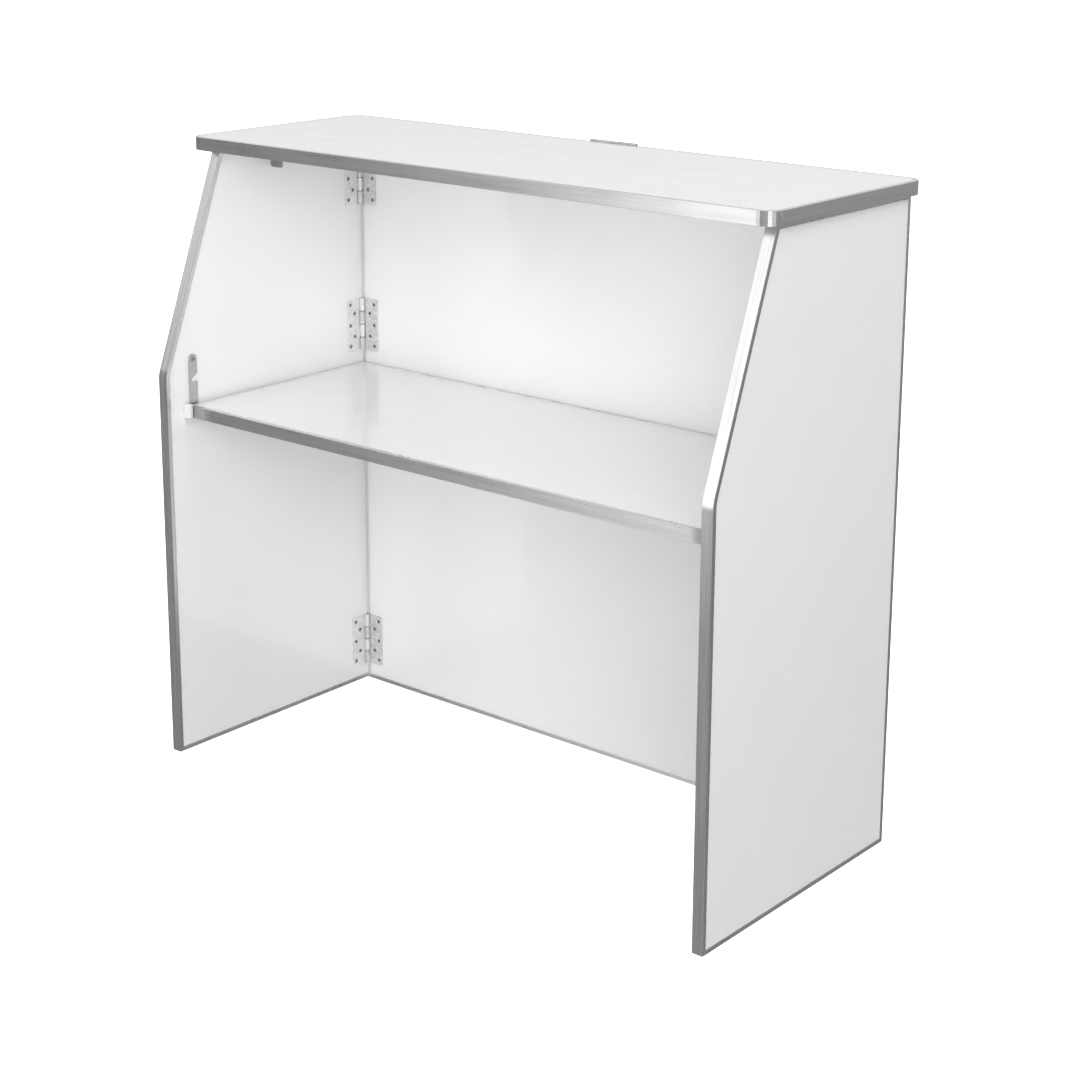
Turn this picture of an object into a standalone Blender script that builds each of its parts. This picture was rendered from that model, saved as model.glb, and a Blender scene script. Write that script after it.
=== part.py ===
"""Folding bar counter: five white laminate boards edged with aluminium channel, steel hinges and fittings.

Frame: metres, +Z up, +X to the right of the person who serves, +Y towards the guests.
The origin is on the floor, under the middle of the counter's outline.
"""
import math
import bmesh
import bpy
from mathutils import Matrix, Vector

for stale in list(bpy.data.objects):
    bpy.data.objects.remove(stale, do_unlink=True)

# Driving dimensions of the counter
body_width = 1.182
body_depth = 0.508
side_height = 1.083
serving_height = 0.4408
knee_above_shelf = 0.0595
knee_radius = 0.058
worktop_side_overhang = 0.0185
worktop_front_setback = 0.103
worktop_rear_overhang = 0.011
worktop_corner_radius = 0.030
slope_behind_worktop_front = 0.039
shelf_front_setback = 0.043
shelf_end_clearance = 0.007
shelf_rear_clearance = 0.0015

# Board thicknesses
side_thickness = 0.020
front_thickness = 0.022
shelf_thickness = 0.0215
worktop_thickness = 0.0225

# Aluminium edge channel
trim_wall = 0.0011
trim_lip = 0.008
gap = 0.0003
panel_gap = 0.0005

# Corner hinges, three in each corner
hinge_length = 0.100
hinge_leaf_width = 0.036
hinge_sheet = 0.0019
hinge_barrel_radius = 0.0049
hinge_pin_clearance = 0.00012
hinge_hole_radius = 0.0024
hinge_countersink_radius = 0.0043
hinge_corner_cut = 0.0015
hinge_knuckles = 4
hinge_knuckle_play = 0.0007
hinge_low_centre = 0.083
hinge_middle_above_shelf = 0.073
hinge_high_below_worktop = 0.088
hinge_outer_hole_shares = (-0.40, 0.0, 0.40)
hinge_inner_hole_shares = (-0.22, 0.22)
hinge_outer_column_share = 0.78
hinge_inner_column_share = 0.47
pin_dome_share = 0.33

# Worktop hinge, at the middle of the rear edge
lid_hinge_length = 0.100
lid_sheet = 0.0011
lid_barrel_radius = 0.0025
lid_axis_above_surface = 0.0009
lid_leaf_end_margin = 0.0012
lid_panel_leaf_drop = 0.030
lid_crank_clearance = 0.0005
lid_hole_radius = 0.0019
lid_countersink_radius = 0.0034
lid_knuckles = 5
lid_hole_row_shares = (-0.36, 0.0, 0.36)
lid_hole_height_share = 0.58

# Steel stays that hang beside the shelf ends
stay_width = 0.018
stay_sheet = 0.003
stay_pivot_setback = 0.0594
stay_pivot_above_shelf = 0.080
stay_tail_overlap = 0.0085
stay_notch_depth_share = 0.75
stay_notch_mouth_share = 0.15
stay_notch_root_share = 0.055
stay_notch_height_share = 0.485
stay_pin_radius = 0.0025
stay_pin_clearance = 0.00015
stay_head_radius = 0.0048
stay_head_height = 0.0017
stay_pin_depth = 0.011

# White rests under the shelf's front corners
rest_back_thickness = 0.0035
rest_length = 0.062
rest_rise = 0.0095
rest_drop = 0.014
rest_ledge_reach = 0.027
rest_ledge_thickness = 0.007
rest_ledge_setback = 0.016
rest_cheek_width = 0.018
rest_cheek_thickness = 0.006
rest_cheek_rise = 0.0035
rest_cheek_clearance = 0.001
rest_corner_radius = 0.0015

# Angle rail under the shelf's rear edge
rail_end_margin = 0.071
rail_leg = 0.020
rail_wall = 0.002
rail_bend_radius = 0.003

# Steel tabs that hang from the worktop inside the side panels
tab_width = 0.029
tab_drop = 0.0435
tab_foot = 0.030
tab_sheet = 0.0025
tab_side_clearance = 0.0022
tab_front_setback = 0.156
tab_corner_cut = 0.004

# Fineness of round shapes, and how far a cutter runs past what it cuts
arc_segments = 8
knuckle_segments = 16
hole_segments = 12
cut_overrun = 0.001
curl_turn = math.radians(300.0)
smooth_below = math.radians(35.0)

# Places that follow from the sizes above
barrel_reach = gap + 2 * lid_barrel_radius
overall_depth = body_depth + worktop_rear_overhang + barrel_reach
front_y = -overall_depth / 2
rear_y = front_y + body_depth
inner_x = body_width / 2 - side_thickness
inner_y = rear_y - front_thickness
worktop_base = side_height + gap
worktop_top = worktop_base + worktop_thickness
worktop_rear_y = rear_y + worktop_rear_overhang
worktop_front_y = front_y + worktop_front_setback
slope_top_y = worktop_front_y + slope_behind_worktop_front
shelf_height = worktop_base - serving_height
shelf_base = shelf_height - shelf_thickness
shelf_front_y = front_y + shelf_front_setback
shelf_rear_y = inner_y - shelf_rear_clearance
knee_height = shelf_height + knee_above_shelf

LAMINATE = ("white_laminate", (0.80, 0.81, 0.82), 0.22, 0.0)
ALUMINIUM = ("brushed_aluminium", (0.62, 0.63, 0.64), 0.36, 1.0)
ZINC = ("zinc_steel", (0.56, 0.57, 0.57), 0.40, 1.0)
NYLON = ("white_nylon", (0.82, 0.82, 0.81), 0.50, 0.0)


def material(look):
    """The Principled material of one look, made once."""
    name, colour, roughness, metallic = look
    made = bpy.data.materials.get(name)
    if made is None:
        made = bpy.data.materials.new(name)
        made.use_nodes = True
        shader = made.node_tree.nodes["Principled BSDF"]
        shader.inputs["Base Color"].default_value = (*colour, 1.0)
        shader.inputs["Roughness"].default_value = roughness
        shader.inputs["Metallic"].default_value = metallic
        made.diffuse_color = (*colour, 1.0)
    return made


def new_mesh(name, bm, smooth=False):
    """A mesh from a closed bmesh, with its faces turned outwards."""
    bmesh.ops.recalc_face_normals(bm, faces=bm.faces)
    mesh = bpy.data.meshes.new(name)
    bm.to_mesh(mesh)
    bm.free()
    if smooth:
        mesh.shade_smooth()
        mesh.set_sharp_from_angle(angle=smooth_below)
    return mesh


def new_object(name, mesh, look, matrix=None, parent=None):
    """One named piece, with its own slot for its look."""
    piece = bpy.data.objects.new(name, mesh)
    bpy.context.scene.collection.objects.link(piece)
    if not mesh.materials:
        mesh.materials.append(material(look))
    if parent is not None:
        piece.parent = parent
    if matrix is not None:
        piece.matrix_world = matrix
    return piece


def joint_empty(name, place):
    """An empty on a joint's axis, which carries the pieces that turn about it."""
    empty = bpy.data.objects.new(name, None)
    bpy.context.scene.collection.objects.link(empty)
    empty.location = place
    bpy.context.view_layer.update()
    return empty


def carry(parent, pieces):
    """Parent pieces to an empty and leave them where they are."""
    for piece in pieces:
        place = piece.matrix_world.copy()
        piece.parent = parent
        piece.matrix_parent_inverse = parent.matrix_world.inverted()
        piece.matrix_world = place


# Planes that an outline (u, v) with a height w can stand in
PLANES = {
    "XY": lambda u, v, w: Vector((u, v, w)),
    "XZ": lambda u, v, w: Vector((u, w, v)),
    "YZ": lambda u, v, w: Vector((w, u, v)),
}


def outline(corners, radii, inset=0.0):
    """A convex outline's points, moved inwards by inset, as one list of points for each corner."""
    groups = []
    count = len(corners)
    for i, radius in enumerate(radii):
        corner = Vector(corners[i])
        before = (corner - Vector(corners[i - 1])).normalized()
        after = (Vector(corners[(i + 1) % count]) - corner).normalized()
        normal_in = Vector((-before.y, before.x))
        normal_out = Vector((-after.y, after.x))
        spread = (normal_in + normal_out) / (1 + normal_in.dot(normal_out))
        if radius <= inset:
            groups.append([corner + spread * inset])
            continue
        centre = corner + spread * radius
        turn = normal_in.angle(normal_out)
        points = []
        for k in range(arc_segments + 1):
            angle = turn * k / arc_segments
            normal = Matrix.Rotation(angle, 2) @ normal_in
            points.append(centre - normal * (radius - inset))
        groups.append(points)
    return groups


def flat(groups):
    """The groups of an outline as one list."""
    return [point for group in groups for point in group]


def skin(bm, loops, close_section, close_path):
    """Join loops of equal length with quads; an open section or path gets a cap at each end."""
    rings = [[bm.verts.new(point) for point in loop] for loop in loops]
    sections = len(rings)
    length = len(rings[0])
    for i in range(sections if close_section else sections - 1):
        one, two = rings[i], rings[(i + 1) % sections]
        for j in range(length if close_path else length - 1):
            k = (j + 1) % length
            bm.faces.new((one[j], one[k], two[k], two[j]))
    if not close_section:
        bm.faces.new(rings[0])
        bm.faces.new(rings[-1])
    if not close_path:
        bm.faces.new([ring[0] for ring in rings])
        bm.faces.new([ring[-1] for ring in rings])


def prism(name, corners, radii, plane, low, high, smooth=False):
    """A flat outline with round corners, extruded from low to high."""
    place = PLANES[plane]
    points = flat(outline(corners, radii))
    bm = bmesh.new()
    skin(bm, [[place(p.x, p.y, w) for p in points] for w in (low, high)], False, True)
    return new_mesh(name, bm, smooth)


def board_mesh(name, corners, radii, plane, middle, thickness):
    """A laminate board whose thinned edge fits inside the edge channel, flush with its lips."""
    place = PLANES[plane]
    shoulder = trim_lip + gap
    step = trim_wall + gap
    half = thickness / 2
    profile = [(shoulder, half), (shoulder, half - step), (step, half - step)]
    profile += [(inset, -w) for inset, w in reversed(profile)]
    loops = []
    sharp = [0.0 if radius <= shoulder else radius for radius in radii]
    for inset, w in profile:
        loops.append([place(p.x, p.y, middle + w) for p in flat(outline(corners, sharp, inset))])
    bm = bmesh.new()
    skin(bm, loops, False, True)
    return new_mesh(name, bm)


def channel_profile(thickness):
    """The channel's C section, as inset from the edge and height off the board's middle."""
    half = thickness / 2
    upper = [(trim_lip, half), (0.0, half)]
    inner = [(trim_wall, half - trim_wall), (trim_lip, half - trim_wall)]
    lower = [(inset, -w) for inset, w in reversed(upper)]
    back = [(inset, -w) for inset, w in reversed(inner)]
    return upper + lower + back + inner


def channel_mesh(name, corners, radii, plane, middle, thickness, first, last, seam=None):
    """Edge channel from one corner to another, mitred at both, or from a seam right round to it."""
    place = PLANES[plane]
    loops = []
    for inset, w in channel_profile(thickness):
        groups = outline(corners, radii, inset)
        if seam is None:
            run = [groups[first][-1]] + flat(groups[first + 1:last]) + [groups[last % len(groups)][0]]
        else:
            run = [Vector((seam.x, groups[0][0].y))] + flat(groups) + [Vector((seam.x, groups[-1][-1].y))]
        start_step = (run[1] - run[0]).normalized() * gap / 2
        end_step = (run[-2] - run[-1]).normalized() * gap / 2
        run[0] = run[0] + start_step
        run[-1] = run[-1] + end_step
        loops.append([place(p.x, p.y, middle + w) for p in run])
    bm = bmesh.new()
    skin(bm, loops, True, False)
    return new_mesh(name, bm, smooth=True)


def lathe(name, profile, segments):
    """A solid turned about local Z from (radius, height) points, flat at both ends."""
    bm = bmesh.new()
    loops = []
    for radius, height in profile:
        ring = []
        for k in range(segments):
            angle = 2 * math.pi * k / segments
            ring.append(Vector((radius * math.cos(angle), radius * math.sin(angle), height)))
        loops.append(ring)
    skin(bm, loops, False, True)
    return new_mesh(name, bm, smooth=True)


def cut(piece, cutter):
    """Subtract a hidden cutter from a piece."""
    cutter.hide_render = True
    cutter.display_type = "WIRE"
    trim = piece.modifiers.new("cut", "BOOLEAN")
    trim.operation = "DIFFERENCE"
    trim.solver = "EXACT"
    trim.object = cutter


def join_solid(piece, other):
    """Unite a piece with a hidden helper solid."""
    other.hide_render = True
    other.display_type = "WIRE"
    union = piece.modifiers.new("join", "BOOLEAN")
    union.operation = "UNION"
    union.solver = "EXACT"
    union.object = other


def baked(piece):
    """A piece's mesh with its modifiers applied; the piece and its cutters go."""
    graph = bpy.context.evaluated_depsgraph_get()
    mesh = bpy.data.meshes.new_from_object(piece.evaluated_get(graph), depsgraph=graph)
    helpers = [m.object for m in piece.modifiers if m.type == "BOOLEAN"]
    for thing in [piece] + helpers:
        bpy.data.objects.remove(thing, do_unlink=True)
    mesh.shade_smooth()
    mesh.set_sharp_from_angle(angle=smooth_below)
    return mesh


def countersunk_cutters(name, places, facing, sheet, hole_radius, sink_radius):
    """One cutter with a countersunk hole at each place, wide end on the side that facing points to."""
    bm = bmesh.new()
    sink_depth = min(sheet, sink_radius - hole_radius)
    profile = [
        (hole_radius, -sheet - cut_overrun),
        (hole_radius, -sink_depth),
        (sink_radius, 0.0),
        (sink_radius, cut_overrun),
    ]
    aim = Vector((0, 0, 1)).rotation_difference(facing).to_matrix().to_4x4()
    for place in places:
        drill = lathe(name, profile, hole_segments)
        drill.transform(Matrix.Translation(place) @ aim)
        bm.from_mesh(drill)
        bpy.data.meshes.remove(drill)
    mesh = bpy.data.meshes.new(name)
    bm.to_mesh(mesh)
    bm.free()
    cutter = bpy.data.objects.new(name, mesh)
    bpy.context.scene.collection.objects.link(cutter)
    return cutter


def curl(radius, start, turn, centre=Vector((0, 0))):
    """Points of a sheet rolled about centre, from the angle start through turn."""
    steps = round(abs(turn) / (2 * math.pi) * knuckle_segments)
    points = []
    for k in range(steps + 1):
        angle = start + turn * k / steps
        points.append(centre + radius * Vector((math.cos(angle), math.sin(angle))))
    return points


def knuckle_spans(length, count, own, play):
    """Lowest and highest point of each knuckle on one leaf, with a running gap between neighbours."""
    pitch = length / count
    spans = []
    for k in own:
        low = -length / 2 + k * pitch + (play / 2 if k > 0 else 0.0)
        high = -length / 2 + (k + 1) * pitch - (play / 2 if k < count - 1 else 0.0)
        spans.append((low, high))
    return spans


def rolled_leaf(name, plate, roll, length, spans, sheet, corner_cut):
    """Sheet steel laid along plate, cut into tongues that are rolled along roll about the pin.

    plate and roll are the sheet's middle line across the hinge; the hinge pin is local Z at (0, 0).
    """
    half = length / 2
    levels = {-half, half, -half + corner_cut, half - corner_cut}
    for low, high in spans:
        levels.update((low, high))
    levels = sorted(levels)
    path = plate + roll
    tongue_start = len(plate) - 1
    lean = (plate[1] - plate[0]).normalized() * corner_cut
    bm = bmesh.new()
    grid = []
    for level in levels:
        row = []
        for k, point in enumerate(path):
            if k == 0 and abs(level) > half - corner_cut / 2:
                point = point + lean
            row.append(bm.verts.new((point.x, point.y, level)))
        grid.append(row)
    for i in range(len(levels) - 1):
        middle = (levels[i] + levels[i + 1]) / 2
        rolled = any(low < middle < high for low, high in spans)
        for k in range(len(path) - 1):
            if k < tongue_start or rolled:
                bm.faces.new((grid[i][k], grid[i][k + 1], grid[i + 1][k + 1], grid[i + 1][k]))
    loose = [vert for vert in bm.verts if not vert.link_faces]
    bmesh.ops.delete(bm, geom=loose, context="VERTS")
    mesh = bpy.data.meshes.new(name)
    bm.to_mesh(mesh)
    bm.free()
    leaf = bpy.data.objects.new(name, mesh)
    bpy.context.scene.collection.objects.link(leaf)
    thicken = leaf.modifiers.new("sheet", "SOLIDIFY")
    thicken.thickness = sheet
    thicken.offset = 0.0
    thicken.use_even_offset = True
    return leaf


def corner_leaf_mesh(name, side, own):
    """A corner hinge's leaf: the plate runs to local +X, against the wall on the side of local Y."""
    middle = hinge_barrel_radius - hinge_sheet / 2
    start = hinge_barrel_radius + panel_gap
    stations = (hinge_leaf_width, hinge_leaf_width - hinge_corner_cut, start)
    plate = [Vector((x, side * middle)) for x in stations]
    roll = curl(middle, side * math.pi / 2, side * curl_turn)
    spans = knuckle_spans(hinge_length, hinge_knuckles, own, hinge_knuckle_play)
    leaf = rolled_leaf(name, plate, roll, hinge_length, spans, hinge_sheet, hinge_corner_cut)
    places = []
    face = side * (middle - hinge_sheet / 2)
    for column, heights in (
        (hinge_outer_column_share, hinge_outer_hole_shares),
        (hinge_inner_column_share, hinge_inner_hole_shares),
    ):
        for share in heights:
            places.append(Vector((hinge_leaf_width * column, face, hinge_length * share)))
    facing = Vector((0, -side, 0))
    cutter = countersunk_cutters(
        name + "_drill", places, facing, hinge_sheet, hinge_hole_radius, hinge_countersink_radius
    )
    cut(leaf, cutter)
    return baked(leaf)


def pin_mesh(name, radius, length):
    """A hinge pin with slightly domed ends."""
    dome = radius * pin_dome_share
    half = length / 2
    lower = [(radius - dome, -half), (radius, -half + dome)]
    upper = [(radius, half - dome), (radius - dome, half)]
    return lathe(name, lower + upper, knuckle_segments)


def board_set(name, corners, radii, plane, middle, thickness, edges):
    """A board with one channel strip on each named edge (edge name, first corner, last corner)."""
    board = board_mesh(name + "_board", corners, radii, plane, middle, thickness)
    pieces = [new_object(name + "_board", board, LAMINATE)]
    for edge, first, last in edges:
        label = f"{name}_trim_{edge}"
        mesh = channel_mesh(label, corners, radii, plane, middle, thickness, first, last)
        pieces.append(new_object(label, mesh, ALUMINIUM))
    return pieces


def side_corners():
    """The side panel's outline in Y and Z, anticlockwise from its rear foot."""
    return [
        (rear_y, 0.0),
        (rear_y, side_height),
        (slope_top_y, side_height),
        (front_y, knee_height),
        (front_y, 0.0),
    ]


def rectangle(low_u, high_u, low_v, high_v):
    """Corners of a rectangle, anticlockwise."""
    return [(low_u, low_v), (high_u, low_v), (high_u, high_v), (low_u, high_v)]


def hinge_heights():
    """Name and middle height of the three hinges in a corner."""
    return {
        "low": hinge_low_centre,
        "middle": shelf_height + hinge_middle_above_shelf,
        "high": side_height - hinge_high_below_worktop,
    }


def build_front_panel():
    """The guests' side: a flat panel between the side panels."""
    reach = inner_x - panel_gap
    corners = rectangle(-reach, reach, 0.0, side_height)
    edges = [("bottom", 0, 1), ("right", 1, 2), ("top", 2, 3), ("left", 3, 4)]
    middle = inner_y + front_thickness / 2
    return board_set("front_panel", corners, [0.0] * 4, "XZ", middle, front_thickness, edges)


def build_side(name, sign):
    """A side panel with a sloping front edge, its channel strips and the pivot hole of its stay."""
    corners = side_corners()
    radii = [0.0, 0.0, 0.0, knee_radius, 0.0]
    edges = [("rear", 0, 1), ("top", 1, 2), ("front", 2, 4), ("bottom", 4, 5)]
    middle = sign * (body_width - side_thickness) / 2
    pieces = board_set(name, corners, radii, "YZ", middle, side_thickness, edges)
    drill_mesh = lathe(
        name + "_drill",
        [(stay_pin_radius + gap, -stay_pin_depth - gap), (stay_pin_radius + gap, cut_overrun)],
        hole_segments,
    )
    drill = new_object(name + "_drill", drill_mesh, LAMINATE, stay_matrix(sign, 0.0))
    cut(pieces[0], drill)
    return pieces


def stay_matrix(sign, stand_off):
    """Local Z points from the side panel into the room, at the stay's pivot."""
    place = Vector((
        sign * (inner_x - stand_off),
        front_y + stay_pivot_setback,
        shelf_height + stay_pivot_above_shelf,
    ))
    return Matrix.Translation(place) @ Matrix.Rotation(-sign * math.pi / 2, 4, "Y")


def stay_outline():
    """The stay's outline in Y and Z about its pivot: round head, notch open to the rear, square tail."""
    half = stay_width / 2
    tail = -(stay_pivot_above_shelf + stay_tail_overlap)
    length = half - tail
    notch = half - length * stay_notch_height_share
    root_y = half - stay_width * stay_notch_depth_share
    mouth = length * stay_notch_mouth_share / 2
    root = length * stay_notch_root_share / 2
    points = curl(half, 0.0, math.pi)
    points += [
        Vector((-half, tail)),
        Vector((half, tail)),
        Vector((half, notch - root)),
        Vector((root_y, notch - root)),
        Vector((root_y, notch + root)),
        Vector((half, notch - root + 2 * mouth)),
    ]
    return points


def build_stay(name, sign):
    """A flat steel stay on its shouldered pivot screw."""
    pivot = stay_matrix(sign, gap).to_translation()
    bm = bmesh.new()
    loops = []
    for depth in (0.0, stay_sheet):
        loops.append([Vector((-sign * depth, p.x, p.y)) for p in stay_outline()])
    skin(bm, loops, False, True)
    stay = new_object(name, new_mesh(name, bm, smooth=True), ZINC, Matrix.Translation(pivot))
    hole = [
        (stay_pin_radius + stay_pin_clearance, -cut_overrun),
        (stay_pin_radius + stay_pin_clearance, stay_sheet + cut_overrun),
    ]
    drill_mesh = lathe(name + "_drill", hole, hole_segments)
    cut(stay, new_object(name + "_drill", drill_mesh, ZINC, stay_matrix(sign, gap)))
    return stay


def build_stay_screw(name, sign):
    """The pivot screw: a plain shank in the board and a domed head over the stay."""
    seat = gap + stay_sheet + gap
    dome = stay_head_height / 2
    profile = [
        (stay_pin_radius, -stay_pin_depth),
        (stay_pin_radius, seat),
        (stay_head_radius, seat),
        (stay_head_radius, seat + dome),
        (stay_head_radius - dome, seat + stay_head_height),
    ]
    return new_object(name, lathe(name, profile, hole_segments), ZINC, stay_matrix(sign, 0.0))


def build_rest(name, sign):
    """A moulded rest: back plate on the side panel, ledge under the shelf, cheek before its edge."""
    cheek_rear = shelf_front_y - rest_cheek_clearance
    cheek_front = cheek_rear - rest_cheek_thickness
    wall = inner_x - gap
    shelf_rest = shelf_base - gap
    round_corners = [rest_corner_radius] * 4
    back = prism(
        name,
        rectangle(cheek_front, cheek_front + rest_length, shelf_base - rest_drop, shelf_base + rest_rise),
        round_corners, "YZ", sign * wall, sign * (wall - rest_back_thickness),
    )
    rest = new_object(name, back, NYLON)
    inside = sorted((sign * (wall - rest_back_thickness / 2), sign * (wall - rest_ledge_reach)))
    ledge = prism(
        name + "_ledge",
        rectangle(*inside, cheek_rear + rest_ledge_setback, cheek_front + rest_length - rest_corner_radius),
        round_corners, "XY", shelf_rest - rest_ledge_thickness, shelf_rest,
    )
    inside = sorted((sign * (wall - rest_back_thickness / 2), sign * (wall - rest_cheek_width)))
    cheek = prism(
        name + "_cheek",
        rectangle(*inside, shelf_base, shelf_height + rest_cheek_rise),
        round_corners, "XZ", cheek_front, cheek_rear,
    )
    join_solid(rest, new_object(name + "_ledge", ledge, NYLON))
    join_solid(rest, new_object(name + "_cheek", cheek, NYLON))
    mesh = baked(rest)
    return new_object(name, mesh, NYLON)


def build_rail():
    """An angle rail on the front panel that carries the shelf's rear edge."""
    wall_y = inner_y - gap
    top = shelf_base - gap
    middle = rail_wall / 2
    bend = curl(
        rail_bend_radius, 0.0, math.pi / 2,
        Vector((wall_y - middle - rail_bend_radius, top - middle - rail_bend_radius)),
    )
    path = [Vector((wall_y - middle, top - rail_leg))] + bend + [Vector((wall_y - rail_leg, top - middle))]
    reach = inner_x - rail_end_margin
    bm = bmesh.new()
    ends = []
    for x in (-reach, reach):
        ends.append([bm.verts.new((x, p.x, p.y)) for p in path])
    for k in range(len(path) - 1):
        bm.faces.new((ends[0][k], ends[0][k + 1], ends[1][k + 1], ends[1][k]))
    mesh = bpy.data.meshes.new("shelf_rail")
    bm.to_mesh(mesh)
    bm.free()
    mesh.shade_smooth()
    mesh.set_sharp_from_angle(angle=smooth_below)
    rail = new_object("shelf_rail", mesh, ALUMINIUM)
    thicken = rail.modifiers.new("wall", "SOLIDIFY")
    thicken.thickness = rail_wall
    thicken.offset = 0.0
    thicken.use_even_offset = True
    return rail


def build_shelf():
    """The loose shelf, seated on the rail and the two rests."""
    reach = inner_x - shelf_end_clearance
    corners = rectangle(-reach, reach, shelf_front_y, shelf_rear_y)
    edges = [("front", 0, 1), ("right", 1, 2), ("rear", 2, 3), ("left", 3, 4)]
    middle = shelf_height - shelf_thickness / 2
    return board_set("shelf", corners, [0.0] * 4, "XY", middle, shelf_thickness, edges)


def build_worktop():
    """The worktop, with one channel bent round its four corners and closed at the rear."""
    half = body_width / 2 + worktop_side_overhang
    corners = [
        (-half, worktop_rear_y), (-half, worktop_front_y), (half, worktop_front_y), (half, worktop_rear_y),
    ]
    radii = [worktop_corner_radius] * 4
    middle = worktop_base + worktop_thickness / 2
    board = board_mesh("worktop_board", corners, radii, "XY", middle, worktop_thickness)
    seam = Vector((0.0, worktop_rear_y))
    ring = channel_mesh("worktop_trim", corners, radii, "XY", middle, worktop_thickness, 0, 0, seam)
    return [new_object("worktop_board", board, LAMINATE), new_object("worktop_trim", ring, ALUMINIUM)]


def build_tab(name, sign):
    """An L of flat steel under the worktop whose tongue stands against the side panel's inner face."""
    outer = inner_x - tab_side_clearance
    middle_x = sign * (outer - tab_width / 2)
    face_y = worktop_front_y + tab_front_setback
    top = worktop_base - gap - tab_sheet / 2
    path = [
        Vector((face_y, top - tab_drop + tab_sheet / 2)),
        Vector((face_y, top - tab_drop + tab_corner_cut)),
        Vector((face_y, top)),
        Vector((face_y + tab_foot, top)),
    ]
    half = tab_width / 2
    rows = [-half, -half + tab_corner_cut, half - tab_corner_cut, half]
    bm = bmesh.new()
    grid = []
    for row in rows:
        line = []
        for k, point in enumerate(path):
            lift = tab_corner_cut if k == 0 and abs(row) == half else 0.0
            line.append(bm.verts.new((middle_x + row, point.x, point.y + lift)))
        grid.append(line)
    for i in range(len(rows) - 1):
        for k in range(len(path) - 1):
            if k == 0 and i != 1:
                outer_row = i if i == 0 else i + 1
                inner_row = i + 1 if i == 0 else i
                bm.faces.new((grid[inner_row][0], grid[inner_row][1], grid[outer_row][1]))
            else:
                bm.faces.new((grid[i][k], grid[i][k + 1], grid[i + 1][k + 1], grid[i + 1][k]))
    loose = [vert for vert in bm.verts if not vert.link_faces]
    bmesh.ops.delete(bm, geom=loose, context="VERTS")
    bmesh.ops.recalc_face_normals(bm, faces=bm.faces)
    mesh = bpy.data.meshes.new(name)
    bm.to_mesh(mesh)
    bm.free()
    tab = new_object(name, mesh, ZINC)
    thicken = tab.modifiers.new("sheet", "SOLIDIFY")
    thicken.thickness = tab_sheet
    thicken.offset = 0.0
    thicken.use_even_offset = True
    return tab


def build_corner_hinges():
    """Six butt hinges with rolled, interleaved knuckles; returns the side panels' leaves by side."""
    front_knuckles = range(0, hinge_knuckles, 2)
    side_knuckles = range(1, hinge_knuckles, 2)
    meshes = {
        ("front", 1): corner_leaf_mesh("front_leaf_left", 1, front_knuckles),
        ("front", -1): corner_leaf_mesh("front_leaf_right", -1, front_knuckles),
        ("side", -1): corner_leaf_mesh("side_leaf_left", -1, side_knuckles),
        ("side", 1): corner_leaf_mesh("side_leaf_right", 1, side_knuckles),
    }
    pin_radius = hinge_barrel_radius - hinge_sheet - hinge_pin_clearance
    pin = pin_mesh("corner_pin", pin_radius, hinge_length)
    side_leaves = {}
    for side, sign in (("left", -1), ("right", 1)):
        axis_x = sign * (inner_x - gap - hinge_barrel_radius)
        axis_y = inner_y - gap - hinge_barrel_radius
        side_leaves[side] = []
        for level, height in hinge_heights().items():
            place = Matrix.Translation((axis_x, axis_y, height))
            front_turn = Matrix.Rotation(0.0 if sign < 0 else math.pi, 4, "Z")
            side_turn = Matrix.Rotation(-math.pi / 2, 4, "Z")
            label = f"hinge_{side}_{level}"
            new_object(label + "_front_leaf", meshes["front", -sign], ZINC, place @ front_turn)
            leaf = new_object(label + "_side_leaf", meshes["side", sign], ZINC, place @ side_turn)
            new_object(label + "_pin", pin, ZINC, place)
            side_leaves[side].append(leaf)
    return side_leaves


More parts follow.
